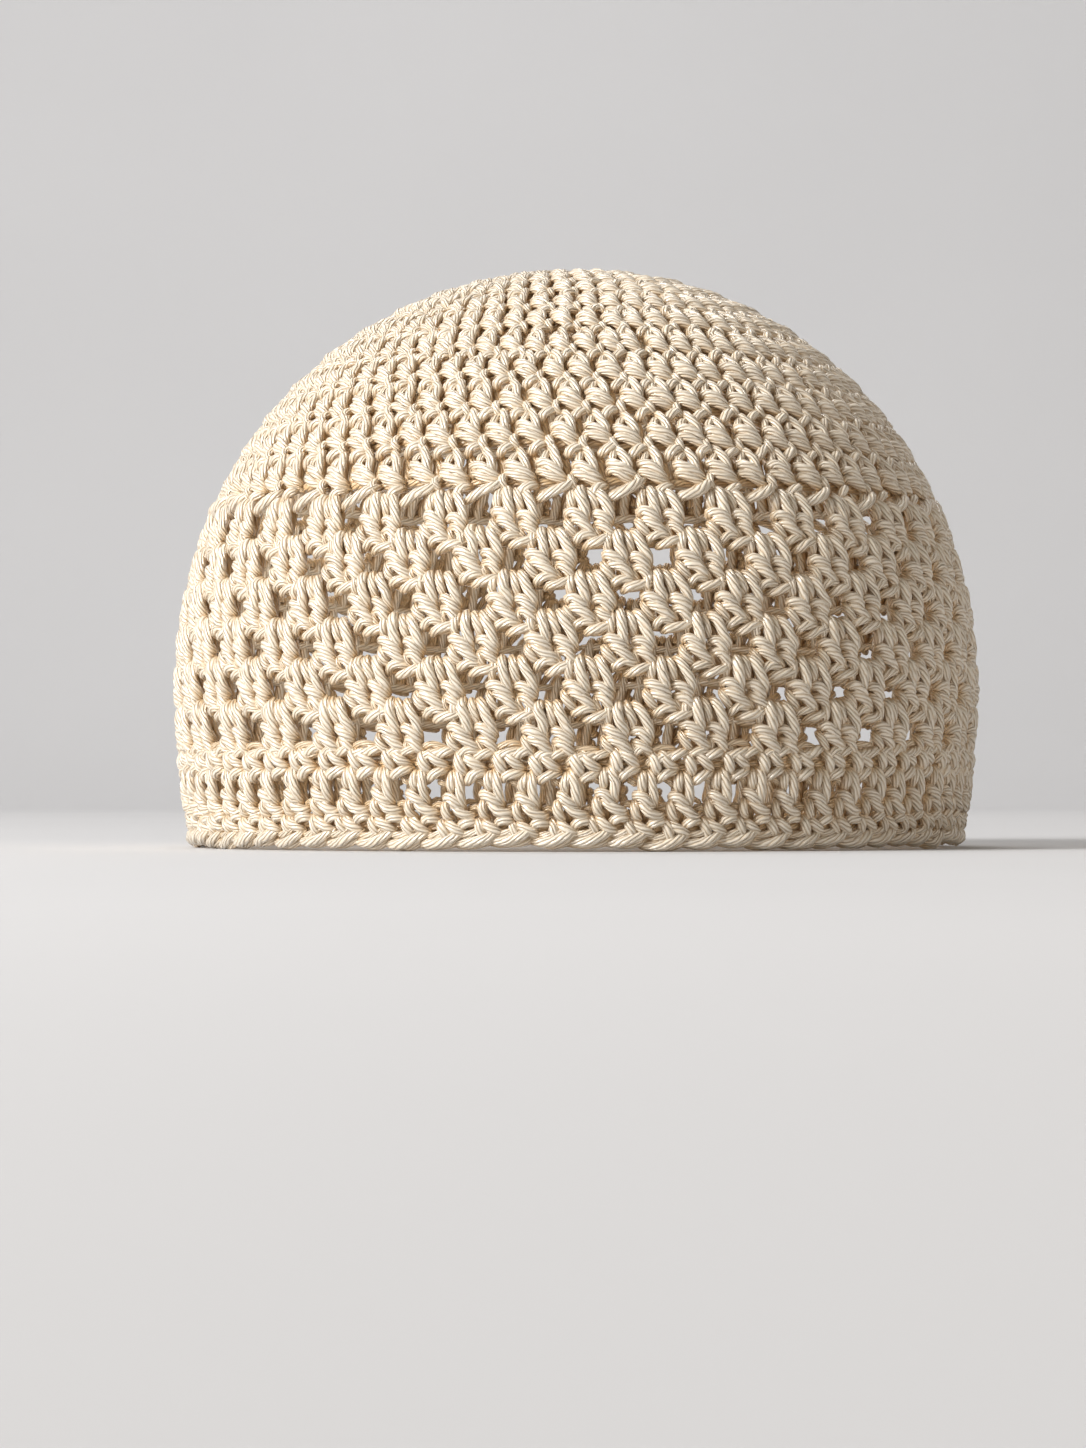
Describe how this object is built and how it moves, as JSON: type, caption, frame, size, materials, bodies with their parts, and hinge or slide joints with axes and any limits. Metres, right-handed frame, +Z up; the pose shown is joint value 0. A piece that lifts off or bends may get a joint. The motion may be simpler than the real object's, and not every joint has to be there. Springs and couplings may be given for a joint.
{
  "type": "kufi",
  "caption": "Close-fitting domed cap crocheted in thick cream cotton, with a dense crown, rounds of openwork and a plain chain-edged rim.",
  "frame": {"origin": "centre of the rim's flat underside, on the surface that the cap stands on", "axes": "+Z up through the middle of the crown, +X to the right as the picture sees the cap, -Y towards the camera"},
  "size_m": [0.1812, 0.182, 0.131],
  "materials": {
    "cotton_yarn": "crocheted from thick twisted mercerised cotton yarn with a soft sheen"
  },
  "bodies": {
    "root": {"crown": "cotton_yarn", "openwork": "cotton_yarn", "rim_band": "cotton_yarn", "chain_edge": "cotton_yarn"}
  },
  "joints": []
}
